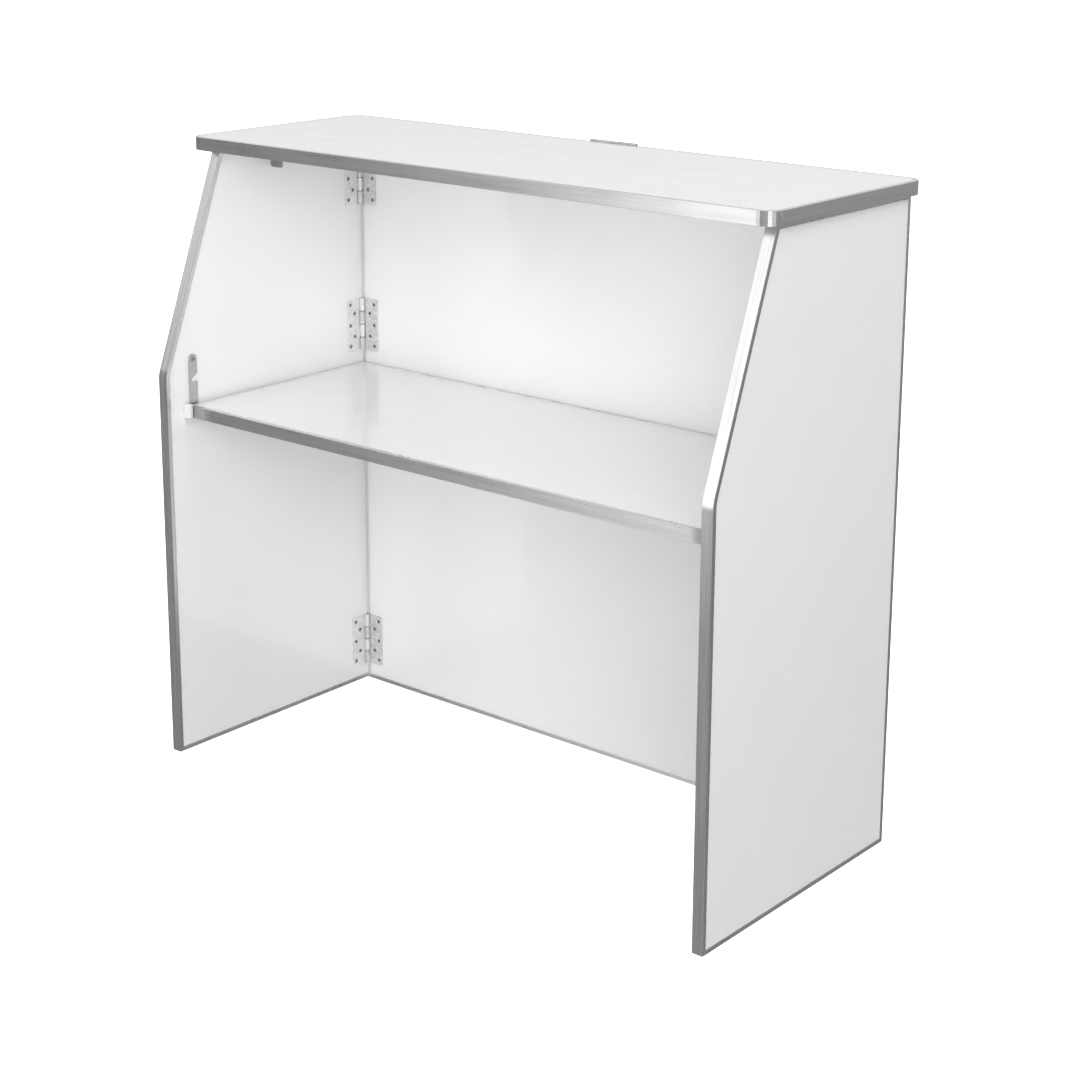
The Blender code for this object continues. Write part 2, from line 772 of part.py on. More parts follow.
def build_worktop_hinge():
    """The flap hinge behind the worktop: a leaf on its rear edge and a cranked leaf on the front panel."""
    middle = lid_barrel_radius - lid_sheet / 2
    tongue = lid_barrel_radius + panel_gap
    foot = worktop_thickness + lid_axis_above_surface - lid_leaf_end_margin
    edge_plate = [Vector((x, middle)) for x in (foot, foot - hinge_corner_cut, tongue)]
    odd = range(1, lid_knuckles, 2)
    even = range(0, lid_knuckles, 2)
    spans = knuckle_spans(lid_hinge_length, lid_knuckles, odd, gap)
    edge_roll = curl(middle, math.pi / 2, curl_turn)
    leaf = rolled_leaf(
        "worktop_hinge_leaf", edge_plate, edge_roll, lid_hinge_length, spans, lid_sheet, hinge_corner_cut
    )
    hole_x = foot * lid_hole_height_share
    rows = [lid_hinge_length * share for share in lid_hole_row_shares]
    places = [Vector((hole_x, middle - lid_sheet / 2, row)) for row in rows]
    cut(leaf, countersunk_cutters(
        "worktop_leaf_drill", places, Vector((0, -1, 0)), lid_sheet, lid_hole_radius, lid_countersink_radius
    ))
    leaf_mesh = baked(leaf)

    # The cranked leaf drops behind the worktop, steps in under its overhang and runs down the panel.
    corridor = worktop_thickness + lid_axis_above_surface + lid_crank_clearance + lid_sheet / 2
    axis_y = worktop_rear_y + gap + lid_barrel_radius
    step_in = axis_y - (rear_y + gap + lid_sheet / 2)
    end = corridor + lid_panel_leaf_drop
    panel_plate = [
        Vector((end, step_in)),
        Vector((end - hinge_corner_cut, step_in)),
        Vector((corridor, step_in)),
        Vector((corridor, 0.0)),
        Vector((tongue, 0.0)),
    ]
    panel_roll = curl(middle, 0.0, -curl_turn)
    spans = knuckle_spans(lid_hinge_length, lid_knuckles, even, gap)
    panel_leaf = rolled_leaf(
        "worktop_hinge_bracket", panel_plate, panel_roll, lid_hinge_length, spans, lid_sheet, hinge_corner_cut
    )
    hole_x = corridor + lid_panel_leaf_drop * lid_hole_height_share
    places = [Vector((hole_x, step_in - lid_sheet / 2, row)) for row in rows]
    cut(panel_leaf, countersunk_cutters(
        "panel_leaf_drill", places, Vector((0, -1, 0)), lid_sheet, lid_hole_radius, lid_countersink_radius
    ))
    panel_mesh = baked(panel_leaf)

    # Local X points down, local Y towards the server and local Z along the pin.
    axis = Vector((0.0, axis_y, worktop_top + lid_axis_above_surface))
    turn = Matrix(((0, 0, 1), (0, -1, 0), (-1, 0, 0))).to_4x4()
    place = Matrix.Translation(axis) @ turn
    pin = pin_mesh("worktop_hinge_pin", middle - lid_sheet / 2 - hinge_pin_clearance, lid_hinge_length)
    new_object("worktop_hinge_bracket", panel_mesh, ZINC, place)
    new_object("worktop_hinge_pin", pin, ZINC, place)
    return new_object("worktop_hinge_leaf", leaf_mesh, ZINC, place), axis


def build():
    """Make every piece and hang the moving ones on empties at their joints' axes."""
    build_front_panel()
    build_rail()
    side_leaves = build_corner_hinges()
    for side, sign in (("left", -1), ("right", 1)):
        pieces = build_side(side + "_side", sign) + side_leaves[side]
        pieces.append(build_rest(f"shelf_rest_{side}", sign))
        pieces.append(build_stay_screw(f"stay_screw_{side}", sign))
        build_stay(f"shelf_stay_{side}", sign)
        axis = (sign * (inner_x - gap - hinge_barrel_radius), inner_y - gap - hinge_barrel_radius, 0.0)
        carry(joint_empty(side + "_side_axis", axis), pieces)
    carry(joint_empty("shelf_axis", (0.0, shelf_rear_y, shelf_height)), build_shelf())
    leaf, lid_axis = build_worktop_hinge()
    lid_pieces = build_worktop() + [leaf]
    for side, sign in (("left", -1), ("right", 1)):
        lid_pieces.append(build_tab(f"worktop_tab_{side}", sign))
    carry(joint_empty("worktop_axis", lid_axis), lid_pieces)


build()
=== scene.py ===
# %% [markdown]
# # A folding bar counter, dressed for a studio picture
#
# The counter is five white laminate boards edged with aluminium channel, three butt hinges in each rear
# corner, a shelf on a rail and two rests, and a worktop that flips up on a small hinge at its back edge.
# Its shapes come from the CAD frame. This lesson adds what a CAD model leaves out: how each surface is
# finished, the rounded arrises that catch the light, the screws in every hole, the light and the camera.
# All lengths are metres, +Z is up, +Y points to the guests and +X to the right hand of whoever serves.

# %% Load the counter as a fixed frame
import math

import bmesh
import bpy
from mathutils import Matrix, Vector


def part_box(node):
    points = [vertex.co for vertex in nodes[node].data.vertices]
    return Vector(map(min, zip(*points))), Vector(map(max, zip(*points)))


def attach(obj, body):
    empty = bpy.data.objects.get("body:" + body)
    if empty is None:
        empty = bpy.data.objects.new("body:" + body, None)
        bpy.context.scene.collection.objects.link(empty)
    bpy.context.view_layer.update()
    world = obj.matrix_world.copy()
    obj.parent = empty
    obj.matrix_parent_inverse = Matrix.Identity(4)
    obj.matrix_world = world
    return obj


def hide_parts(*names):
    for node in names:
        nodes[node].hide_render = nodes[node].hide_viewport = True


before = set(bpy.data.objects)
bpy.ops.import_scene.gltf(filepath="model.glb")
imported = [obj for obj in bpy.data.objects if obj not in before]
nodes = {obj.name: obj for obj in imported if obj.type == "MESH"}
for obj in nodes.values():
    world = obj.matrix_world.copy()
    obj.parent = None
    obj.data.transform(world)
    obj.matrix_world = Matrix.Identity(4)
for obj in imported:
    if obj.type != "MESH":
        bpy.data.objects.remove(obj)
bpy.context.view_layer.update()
print("CAD nodes:", len(nodes))

# %% [markdown]
# ## The camera
#
# The photograph was taken from the server's side, from the right and a little above the worktop. Its
# upright edges stay nearly parallel, as with a camera held almost level and a picture cropped low. A lens
# shift as on a view camera would copy that, but so large a shift would spoil every other view, which keeps
# it. So the camera is tilted down by 14 degrees and shifted only a little, and the upright edges lean
# slightly more than in the photograph. The distance and the lens are matched together: a longer lens from
# further off would flatten the worktop. The numbers come from a least-squares fit to measured edges.

# %% Place the camera and read where known corners land
PICTURE = 1080
camera_place = Vector((2.287, -2.682, 1.609))
camera_turn = math.radians(39.77)
camera_tilt = math.radians(-14.11)
camera_roll = math.radians(0.24)

aim = Vector((
    -math.sin(camera_turn) * math.cos(camera_tilt),
    math.cos(camera_turn) * math.cos(camera_tilt),
    math.sin(camera_tilt),
))
camera_data = bpy.data.cameras.new("studio_camera")
camera_data.sensor_width = 36.0
camera_data.lens = 72.97
camera_data.shift_y = -0.14
camera = bpy.data.objects.new("studio_camera", camera_data)
bpy.context.scene.collection.objects.link(camera)
camera.matrix_world = (
    Matrix.Translation(camera_place)
    @ aim.to_track_quat("-Z", "Y").to_matrix().to_4x4()
    @ Matrix.Rotation(camera_roll, 4, "Z")
)
bpy.context.scene.camera = camera


def pixel(point):
    """Where a point of the counter lands in the square picture, in pixels from the top left."""
    seen = camera.matrix_world.inverted() @ Vector(point)
    zoom = camera_data.lens / camera_data.sensor_width / -seen.z
    across = 0.5 + seen.x * zoom - camera_data.shift_x
    down = 0.5 - seen.y * zoom + camera_data.shift_y
    return round(PICTURE * across, 1), round(PICTURE * down, 1)


right_side_low, right_side_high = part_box("right_side_trim_front")
worktop_low, worktop_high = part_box("worktop_trim")
print("right foot:", pixel((right_side_high.x, right_side_low.y, 0.0)))
print("left end of the worktop's front:", pixel((worktop_low.x, worktop_low.y, worktop_high.z)))
print("right rear corner of the worktop:", pixel((worktop_high.x, worktop_high.y, worktop_high.z)))

# %% [markdown]
# ## Shader maths that reads like arithmetic
#
# A finish is mostly small sums: a streak is added to a roughness, a mask is taken from one. Wiring those
# by hand hides the idea. The class below holds one socket of a node tree, and `+`, `-`, `*` and `>`
# on it add the Math node that does the sum. The same operators on a position or a direction add Vector
# Math nodes, because a Math node would keep only one number of the three. Everything that isn't a sum,
# such as a noise texture or a Bump node, comes from the one method `node`.

# %% The socket class
def is_vector(thing):
    """True for a wire that carries three numbers, and for three plain numbers."""
    if isinstance(thing, Wire):
        return thing.socket.type == "VECTOR"
    return isinstance(thing, (Vector, tuple))


class Wire:
    """One output socket of a node tree, ready for arithmetic."""

    def __init__(self, tree, socket):
        self.tree = tree
        self.socket = socket

    def node(self, kind, settings=None, sockets=None, output=0):
        """Add a node: its settings first, then a number, a colour or a wire for each of its sockets."""
        made = self.tree.nodes.new(kind)
        for name, value in (settings or {}).items():
            setattr(made, name, value)
        for key, value in (sockets or {}).items():
            plug(self.tree, value, made.inputs[key])
        return Wire(self.tree, made.outputs[output])

    def sum_node(self, operation, *terms):
        """A Math node, or a Vector Math node where a term carries three numbers."""
        kind = "ShaderNodeVectorMath" if any(map(is_vector, terms)) else "ShaderNodeMath"
        return self.node(kind, {"operation": operation}, dict(enumerate(terms)))

    def __add__(self, other):
        return self.sum_node("ADD", self, other)

    def __sub__(self, other):
        return self.sum_node("SUBTRACT", self, other)

    def __rsub__(self, other):
        return self.sum_node("SUBTRACT", other, self)

    def __mul__(self, other):
        return self.sum_node("MULTIPLY", self, other)

    def __gt__(self, other):
        return self.sum_node("GREATER_THAN", self, other)

    def __abs__(self):
        return self.sum_node("ABSOLUTE", self)

    __radd__ = __add__
    __rmul__ = __mul__


def plug(tree, value, socket):
    """Link a wire to a socket, or set the socket to a plain number, direction or colour."""
    if isinstance(value, Wire):
        tree.links.new(value.socket, socket)
    elif socket.type == "RGBA":
        socket.default_value = (*value, 1.0)
    elif socket.type == "VECTOR" and not is_vector(value):
        socket.default_value = (value, value, value)
    else:
        socket.default_value = value


print("ready: Wire, with + - * > abs and node()")

# %% [markdown]
# ## Helpers that every finish uses
#
# Each CAD node has its own local coordinates in metres, and they move with the node. A texture that reads
# them keeps its real size and stays stuck to its board when the counter folds. `smooth_step` turns a
# number into a mask with a soft edge, and `noise` gives cloudy variation whose size is set in patches per
# metre.

# %% Positions, masks and noise
def start_finish(name, colour, roughness, metallic, **constants):
    """A material with its constants set, and the local position that its textures read."""
    made = bpy.data.materials.new(name)
    made.use_nodes = True
    tree = made.node_tree
    shader = tree.nodes["Principled BSDF"]
    shader.inputs["Base Color"].default_value = (*colour, 1.0)
    shader.inputs["Roughness"].default_value = roughness
    shader.inputs["Metallic"].default_value = metallic
    for socket, value in constants.items():
        shader.inputs[socket.replace("_", " ")].default_value = value
    made.diffuse_color = (*colour, 1.0)
    source = tree.nodes.new("ShaderNodeTexCoord")
    return made, shader, Wire(tree, source.outputs["Object"])


def parts(vector):
    """The three numbers of a position or direction."""
    split = vector.node("ShaderNodeSeparateXYZ", {}, {0: vector})
    return [Wire(vector.tree, split.socket.node.outputs[axis]) for axis in "XYZ"]


def together(x, y, z):
    """Three numbers as one vector; at least one of them is a wire."""
    first = next(value for value in (x, y, z) if isinstance(value, Wire))
    return first.node("ShaderNodeCombineXYZ", {}, {0: x, 1: y, 2: z})


def dot(vector, direction):
    """How far a position lies along a direction."""
    made = vector.node("ShaderNodeVectorMath", {"operation": "DOT_PRODUCT"}, {0: vector, 1: direction})
    return Wire(vector.tree, made.socket.node.outputs["Value"])


def smooth_step(value, low, high):
    """A mask that rises softly from 0 at low to 1 at high."""
    settings = {"interpolation_type": "SMOOTHSTEP"}
    return value.node("ShaderNodeMapRange", settings, {"Value": value, "From Min": low, "From Max": high})


def noise(place, patches, detail=2.0, roughness=0.5):
    """Cloudy variation about 0.5, with so many patches per metre."""
    sockets = {"Vector": place, "Scale": patches, "Detail": detail, "Roughness": roughness}
    return place.node("ShaderNodeTexNoise", {}, sockets)


def tint(mask, low, high):
    """The colour low where the mask is 0 and high where it is 1."""
    return mask.node("ShaderNodeMix", {"data_type": "RGBA"}, {0: mask, 6: low, 7: high}, output=2)


def bump(height, depth, strength=1.0):
    """A normal from a height between 0 and 1 that stands for depth metres."""
    return height.node("ShaderNodeBump", {}, {"Height": height, "Distance": depth, "Strength": strength})


def connect(shader, **wires):
    """Feed wires to the shader's sockets."""
    for socket, wire in wires.items():
        plug(wire.tree, wire, shader.inputs[socket.replace("_", " ")])


print("ready: start_finish, parts, together, dot, smooth_step, noise, tint, bump")

# %% [markdown]
# ## White laminate
#
# The boards are covered with a white high-pressure laminate. It is nearly smooth, with the faint orange
# peel of the pressed sheet, so it mirrors the hinges softly, and it is wiped often, so its shine varies in
# broad cloudy patches. Fine hair scratches run every way. Against the lips of the edge channel the laminate
# is darker and duller: partly dust, where a cloth doesn't reach, and partly painted shade where lip and
# board meet. The distance to the nearest edge is the smallest distance to the planes of the board's
# outline, so one recipe serves the rectangular boards and the sloping sides.

# %% Laminate for one board
LAMINATE_WHITE = (0.86, 0.86, 0.862)
CHANNEL_SHEET = 0.0014


def laminate(name, edge_planes):
    """White laminate for a board whose outline is a list of (outward direction, distance from origin)."""
    made, shader, place = start_finish(
        name, LAMINATE_WHITE, 0.2, 0.0, IOR=1.5, Coat_Weight=0.85, Coat_Roughness=0.025
    )
    clouds = noise(place, 5.0, detail=3.0)
    wiped = noise(place, 16.0, detail=4.0, roughness=0.6)
    peel = noise(place, 700.0, detail=1.0)

    inset = None
    for direction, distance in edge_planes:
        reach = distance - dot(place, direction)
        inset = reach if inset is None else inset.sum_node("MINIMUM", inset, reach)
    # Darker and rougher near the channel's lips: partly dust, partly painted shade where lip and board
    # meet.
    dust_and_lip_shade = (1.0 - smooth_step(inset, 0.008, 0.020)) * smooth_step(noise(place, 60.0, 3.0), 0.35, 0.75)

    scratches = None
    for turn in (0.4, 1.7, 2.6):
        turned = place.node(
            "ShaderNodeVectorRotate", {"rotation_type": "AXIS_ANGLE"},
            {"Vector": place, "Axis": (0.577, 0.577, 0.577), "Angle": turn},
        )
        x, y, z = parts(turned)
        hair = smooth_step(noise(together(x * 3.0, y * 420.0, z * 420.0), 1.0, 1.0), 0.74, 0.80)
        scratches = hair if scratches is None else scratches.sum_node("MAXIMUM", scratches, hair)

    shade = (clouds - 0.5) * 0.035 + (wiped - 0.5) * 0.02 - dust_and_lip_shade * 0.10 - scratches * 0.02 + 0.93
    connect(
        shader,
        Base_Color=tint(shade, (0.0, 0.0, 0.0), [channel / 0.93 for channel in LAMINATE_WHITE]),
        Roughness=(wiped - 0.5) * 0.10 + (clouds - 0.5) * 0.06 + scratches * 0.18 + dust_and_lip_shade * 0.25 + 0.19,
        Normal=bump(peel + scratches * -0.4, 0.00002, 0.6),
    )
    return made


def box_planes(node, thin_axis):
    """The four edge planes of a rectangular board with its channel, leaving out the axis it is thin in."""
    low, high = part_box(node)
    planes = []
    for axis in range(3):
        if axis != thin_axis:
            direction = Vector((0, 0, 0))
            direction[axis] = 1.0
            planes += [(direction, high[axis] + CHANNEL_SHEET), (-direction, CHANNEL_SHEET - low[axis])]
    return planes


knee_height = 0.702
slope_top = Vector((0.0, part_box("right_side_trim_top")[0].y, worktop_low.z))
knee = Vector((0.0, right_side_low.y, knee_height))
slope = (slope_top - knee).normalized()
slope_outward = Vector((0.0, -slope.z, slope.y))
slope_plane = (slope_outward, slope_outward.dot(knee))

thin_axes = {"front_panel": 1, "left_side": 0, "right_side": 0, "shelf": 2, "worktop": 2}
for board, thin_axis in thin_axes.items():
    planes = box_planes(board + "_board", thin_axis)
    if board.endswith("side"):
        planes.append(slope_plane)
    nodes[board + "_board"].data.materials.clear()
    nodes[board + "_board"].data.materials.append(laminate(board + "_laminate", planes))
lean = math.degrees(math.atan2(slope.y, slope.z))
print("laminate on five boards; the side panels slope at", round(lean, 1), "degrees")

# %% [markdown]
# ## Brushed aluminium channel
#
# The channel is brushed along its length, then anodised clear. Each hair-fine groove tilts the surface a
# little to one side, never along the groove, so a reflection smears across the strip and stays sharp along
# it. That smear is what makes one strip look dark and the next one white under the same lamp. The grooves
# are far finer than a pixel, so the shader's own Anisotropic value makes the smear, and it is the same all
# over a strip. A stretched noise then tilts the normal a little, across the strip only, which breaks the
# smear into streaks. The same noise changes the colour slightly, as the grain of the rolled strip does.
#
# The strips don't all look alike in the photograph. Those in the rear corners and along the shelf's ends
# are paler, so they get a lighter tone and less smear; that lighter tone is painted light against the shade
# that falls in the corners and beside the shelf. The ends of the shelf's front strip look grey, and a mask
# darkens them. The front lengths of the side panels have no smear, only the streaks, and a darker tone,
# which is painted shade that dims their bright reflection.

# %% Brushed aluminium along any edge
ALUMINIUM_GREY = (0.70, 0.70, 0.705)


def brushed_aluminium(name, lay_out, smear, smear_turn, roughness=0.28, darkening=None, painted_lift=0.0):
    """Aluminium whose grooves follow the strip, as lay_out says for a position.

    lay_out returns the position across the board's thickness, the distance from the board's edge, the
    position along the strip, and the two directions across the grooves. smear says how far reflections
    stretch, and smear_turn, in full turns, takes them from level to upright. darkening gives a mask of
    where the tone is darkened, and painted_lift shifts the tone: up as painted light, down as painted
    shade.
    """
    made, shader, place = start_finish(
        name, ALUMINIUM_GREY, roughness, 1.0, Anisotropic=smear, Anisotropic_Rotation=smear_turn
    )
    facing = Wire(place.tree, place.socket.node.outputs["Normal"])
    thick, inset, along, upward, outward = lay_out(place)
    grooves = noise(together(thick * 2600.0, inset * 2600.0, along * 11.0), 1.0, detail=2.0)
    grain = noise(together(thick * 210.0, inset * 210.0, along * 5.0), 1.0, detail=3.0)
    handled = noise(place, 14.0, detail=4.0, roughness=0.6)

    across = outward + upward
    tilted = facing + ((grooves - 0.5) * 0.01 + (grain - 0.5) * 0.05) * across
    tilted = tilted.node("ShaderNodeVectorMath", {"operation": "NORMALIZE"}, {0: tilted})
    settings = {"vector_type": "NORMAL", "convert_from": "OBJECT", "convert_to": "WORLD"}
    normal = tilted.node("ShaderNodeVectorTransform", settings, {0: tilted})

    shade = (grain - 0.5) * 0.95 + (grooves - 0.5) * 0.06 - (handled - 0.5) * 0.12 + 0.5
    # painted_lift moves the whole tone: above 0 it is painted light, below 0 painted shade.
    dark = 0.60 + painted_lift
    light = 0.84 + painted_lift
    # A darkening mask lowers the tone towards a darker grey where it is 1.
    if darkening:
        shade = (shade * 0.45 + 0.55) * (1.0 - darkening(place) * 0.75)
        dark = 0.307
    connect(
        shader,
        Base_Color=tint(shade, (dark, dark, dark * 1.008), (light, light, light + 0.006)),
        Roughness=(handled - 0.5) * 0.10 + (grain - 0.5) * 0.05 + roughness,
        Normal=normal,
    )
    return made


def straight(axis):
    """The groove layout of a strip that runs along one axis."""
    lengthwise = Vector((0, 0, 0))
    lengthwise[axis] = 1.0
    others = [Vector((0, 0, 0)), Vector((0, 0, 0))]
    others[0][(axis + 1) % 3] = 1.0
    others[1][(axis + 2) % 3] = 1.0

    def lay_out(place):
        return dot(place, others[0]), dot(place, others[1]), dot(place, lengthwise), others[0], others[1]

    return lay_out


def dress(material, *names):
    """Put one material on CAD nodes."""
    for name in names:
        nodes[name].data.materials.clear()
        nodes[name].data.materials.append(material)


shelf_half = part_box("shelf_trim_front")[1].x


def darkened_ends(place):
    """A mask of the last 26 to 46 mm at each end of the shelf's front strip, where the tone is darkened."""
    x, y, z = parts(place)
    return smooth_step(abs(x), shelf_half - 0.046, shelf_half - 0.026)


strip_along = [
    brushed_aluminium("aluminium_along_x", straight(0), 0.85, 0.25),
    brushed_aluminium("aluminium_along_y", straight(1), 0.85, 0.25),
    brushed_aluminium("aluminium_along_z", straight(2), 0.85, 0.0),
]
dress(strip_along[0], "front_panel_trim_bottom", "front_panel_trim_top", "shelf_trim_rear", "shelf_rail")
# A mask darkens the ends of the shelf's front strip.
dress(
    brushed_aluminium("aluminium_darkened_ends", straight(0), 0.85, 0.25, darkening=darkened_ends), "shelf_trim_front"
)
dress(
    strip_along[1], "left_side_trim_top", "left_side_trim_bottom", "right_side_trim_top",
    "right_side_trim_bottom",
)
# Painted light: a lighter tone that offsets the shade where the shelf meets the side panels.
dress(
    brushed_aluminium("aluminium_beside_shelf_painted_light", straight(1), 0.4, 0.25, 0.4, painted_lift=0.13),
    "shelf_trim_left", "shelf_trim_right",
)
# Painted light: a lighter tone that offsets the shade in the rear corners.
dress(
    brushed_aluminium("aluminium_in_corners_painted_light", straight(2), 0.4, 0.0, 0.5, painted_lift=0.16),
    "front_panel_trim_left", "front_panel_trim_right",
)
dress(strip_along[2], "left_side_trim_rear", "right_side_trim_rear")
print("straight strips brushed along x, y and z")

# %% [markdown]
# The worktop's channel is one length bent round four corners, so its grooves turn with it. The distance
# from the edge of a rounded rectangle is a known formula: fold the position into one quarter, take away
# the straight part, and what is left points outwards, also round the bend. The side panel's front channel
# turns once, at the knee. There the nearer of two straight edges gives the direction.

# %% The two bent channels
corner_radius = 0.030
ring_middle = (worktop_low + worktop_high) / 2
ring_half = (worktop_high - worktop_low) / 2


def round_the_worktop(place):
    """Groove layout of the channel that is bent round the worktop."""
    x, y, z = parts(place - tuple(ring_middle))
    beyond_x = x.sum_node("MAXIMUM", abs(x) - (ring_half.x - corner_radius), 0.0)
    beyond_y = y.sum_node("MAXIMUM", abs(y) - (ring_half.y - corner_radius), 0.0)
    signed = together(beyond_x * x.sum_node("SIGN", x), beyond_y * y.sum_node("SIGN", y), 0.0)
    outward = signed.node("ShaderNodeVectorMath", {"operation": "NORMALIZE"}, {0: signed})
    reach = signed.node("ShaderNodeVectorMath", {"operation": "LENGTH"}, {0: signed})
    inset = corner_radius - Wire(signed.tree, reach.socket.node.outputs["Value"])
    out_x, out_y, _ = parts(outward)
    return z, inset, x * abs(out_y) + y * abs(out_x), Vector((0, 0, 1)), outward


def down_the_side(place):
    """Groove layout of the channel that runs down the slope, round the knee and to the floor."""
    from_slope = slope_plane[1] - dot(place, slope_outward)
    from_front = dot(place, Vector((0, 1, 0))) - right_side_low.y
    on_slope = from_front > from_slope
    choice = {0: on_slope, 4: Vector((0, -1, 0)), 5: slope_outward}
    outward = place.node("ShaderNodeMix", {"data_type": "VECTOR"}, choice, output=1)
    inset = from_slope.sum_node("MINIMUM", from_slope, from_front)
    along = dot(place, Vector((0, 0, 1)))
    return dot(place, Vector((1, 0, 0))), inset, along, Vector((1, 0, 0)), outward


round_strip = brushed_aluminium("aluminium_round_worktop", round_the_worktop, 0.85, 0.25)
# Painted shade: a darker tone that dims the bright reflection on the side panels' front strips.
side_strip = brushed_aluminium("aluminium_down_side_painted_shade", down_the_side, 0.0, 0.0, 0.26, painted_lift=-0.05)
dress(round_strip, "worktop_trim")
dress(side_strip, "left_side_trim_front", "right_side_trim_front")
print("bent channels brushed round the worktop and down the side panels")

# %% [markdown]
# ## Zinc-plated steel, and nylon
#
# The hinges, the stays and the tabs are stamped from steel and zinc plated in a barrel. The plating dries
# in crystals a few millimetres wide, some lighter and some duller, with tiny pits. Cells of a Voronoi
# texture give the crystals their different greys. The hinge leaves are the palest and least like a mirror,
# so their shader isn't fully metallic, which lets some light scatter as paint does. The side leaves carry
# painted light: they are a paler copy with still less metal than the front leaves, for the light that falls
# on them. The stays are smoother and darker, and the tabs are the darkest. The knuckles of the corner
# hinges meet in dark lines of painted shade, for the shade in the gaps between them: a mask measures how
# far a point is from each joint and from the pin's axis, and it also darkens each barrel faintly, a painted
# shade over its highlight. The two shelf rests are moulded in white nylon with a fine spark texture, a
# little creamier than the laminate.

# %% Zinc and nylon
HINGE_LENGTH = 0.100
LEAF_WIDTH = 0.036


def knuckle_gap_shade(place):
    """Painted shade in the gaps between the knuckles of the six corner hinges, and faintly on each barrel.
    """
    x, y, z = parts(place)
    near = None
    for level in hinge_levels:
        away = abs(z - level)
        near = away if near is None else near.sum_node("MINIMUM", near, away)
    joint = near.sum_node("MINIMUM", near, abs(near - HINGE_LENGTH / 4))
    beside = abs(x) - hinge_axis.x
    behind = y - hinge_axis.y
    squared = beside * beside + behind * behind
    reach = squared.sum_node("SQRT", squared)
    barrel = 1.0 - smooth_step(reach, 0.0052, 0.0060)
    # The 1.04 leaves a faint painted shade over the whole barrel, which dims its highlight.
    return (1.04 - smooth_step(joint, 0.0004, 0.0016)) * barrel


def zinc_plate(name, grey, crystal_size, roughness, mottle=1.0, painted_gap_shade=None, metallic=1.0):
    """Mottled zinc plating with crystals of one size, in metres. painted_gap_shade masks painted shade."""
    made, shader, place = start_finish(name, (grey, grey, grey * 1.01), roughness, metallic)
    warped = place + (noise(place, 0.6 / crystal_size, 2.0) - 0.5) * (crystal_size * 1.5)
    cells = warped.node(
        "ShaderNodeTexVoronoi", {"feature": "F1"}, {"Vector": warped, "Scale": 1.0 / crystal_size}, output=1
    )
    crystal = cells.node("ShaderNodeSeparateColor", {}, {0: cells})
    pits = smooth_step(noise(place, 1400.0, 1.0), 0.66, 0.74)
    rolled = noise(place, 90.0, 3.0)
    shade = ((crystal - 0.5) * 0.55 + (rolled - 0.5) * 0.5 - pits * 0.35) * mottle + 0.5
    dark = (grey * 0.80,) * 3
    if painted_gap_shade:
        # The plating keeps to the top 37% of the mix, which leaves the rest to the much darker painted
        # shade.
        dark = (grey * 0.20,) * 3
        shade = (shade - painted_gap_shade(place) * 1.4) * 0.37 + 0.63
    connect(
        shader,
        Base_Color=tint(shade, dark, (grey * 1.16, grey * 1.16, grey * 1.17)),
        Roughness=((crystal - 0.5) * 0.16 + (rolled - 0.5) * 0.15 + pits * 0.2) * mottle + roughness,
        Normal=bump(crystal * 0.4 + rolled - pits, 0.00006, 0.5),
    )
    return made


def moulded_nylon(name):
    """White nylon from a spark-eroded mould."""
    made, shader, place = start_finish(name, (0.78, 0.78, 0.77), 0.45, 0.0, IOR=1.53)
    spark = noise(place, 1800.0, 2.0)
    flow = noise(place, 120.0, 2.0)
    connect(
        shader,
        Base_Color=tint(flow, (0.74, 0.74, 0.73), (0.81, 0.81, 0.80)),
        Roughness=(spark - 0.5) * 0.2 + (flow - 0.5) * 0.1 + 0.46,
        Normal=bump(spark, 0.00005, 0.6),
    )
    return made


hinge_axis = (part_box("hinge_right_low_pin")[0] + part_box("hinge_right_low_pin")[1]) / 2
hinge_levels = []
for level in ("low", "middle", "high"):
    pin_low, pin_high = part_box(f"hinge_right_{level}_pin")
    hinge_levels.append((pin_low.z + pin_high.z) / 2)
zinc = zinc_plate("zinc_plated_steel", 0.74, 0.0032, 0.42)
zinc_front_leaf = zinc_plate("zinc_plated_front_leaf", 0.76, 0.0032, 0.45, 1.6, knuckle_gap_shade, 0.6)
# Painted light: the side leaves are a paler, less metallic copy of the front leaves' zinc.
lit_side_leaf_zinc = zinc_plate("zinc_plated_side_leaf", 0.85, 0.0032, 0.45, 1.0, knuckle_gap_shade, 0.35)
zinc_stay = zinc_plate("zinc_plated_stay", 0.54, 0.0032, 0.22, 0.35)
zinc_tab = zinc_plate("zinc_plated_tab", 0.34, 0.0032, 0.40)
zinc_pin = zinc_plate("zinc_plated_pin", 0.60, 0.0018, 0.45)
screw_zinc = zinc_plate("screw_zinc", 0.50, 0.0012, 0.38)
# A darker zinc for the cross recesses: painted shade for the shade inside them.
recess_shade_zinc = zinc_plate("painted_shade_in_recess", 0.22, 0.0012, 0.55)
nylon = moulded_nylon("white_nylon")
for name in nodes:
    if name.endswith("_pin"):
        dress(zinc_pin, name)
    elif name.startswith("worktop_tab"):
        dress(zinc_tab, name)
    elif name.startswith("hinge_") and name.endswith("_front_leaf"):
        dress(zinc_front_leaf, name)
    elif name.startswith("hinge_") and name.endswith("_side_leaf"):
        dress(lit_side_leaf_zinc, name)
    elif name.startswith("worktop_hinge"):
        dress(zinc, name)
    elif name.startswith("shelf_stay") or name.startswith("stay_screw"):
        dress(zinc_stay, name)
    elif name.startswith("shelf_rest"):
        dress(nylon, name)
print("zinc on the hinges, the stays and the tabs; nylon on the two rests")

